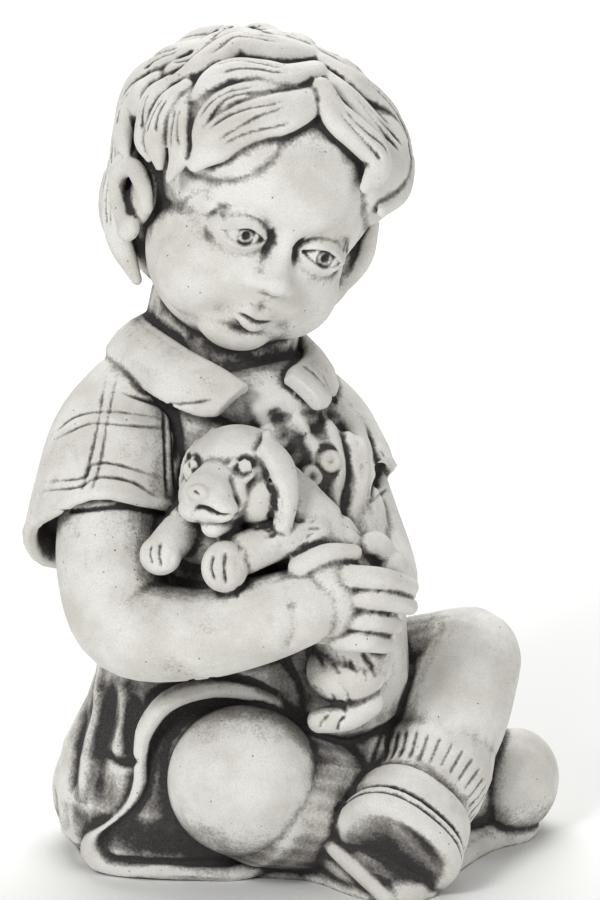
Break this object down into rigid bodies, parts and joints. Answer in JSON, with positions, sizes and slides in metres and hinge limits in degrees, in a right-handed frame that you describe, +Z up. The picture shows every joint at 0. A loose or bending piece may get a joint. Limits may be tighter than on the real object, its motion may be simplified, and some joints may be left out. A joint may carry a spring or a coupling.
{
  "type": "seated boy with puppy garden statue",
  "caption": "Cast-stone garden figure of a seated cross-legged child in shirt and shorts, holding a puppy in both arms. It stands on its own flat underside.",
  "frame": {"origin": "middle of the flat underside's bounding box, on the ground", "axes": "+Z up, the figure faces -Y, +X to the viewer's right"},
  "size_m": [0.2883, 0.2179, 0.4498],
  "materials": {
    "cast_stone": "cast concrete, pale cream, dark antique wash rubbed into the recesses"
  },
  "bodies": {
    "root": {"boy_with_puppy_statue": "cast_stone"}
  },
  "joints": []
}
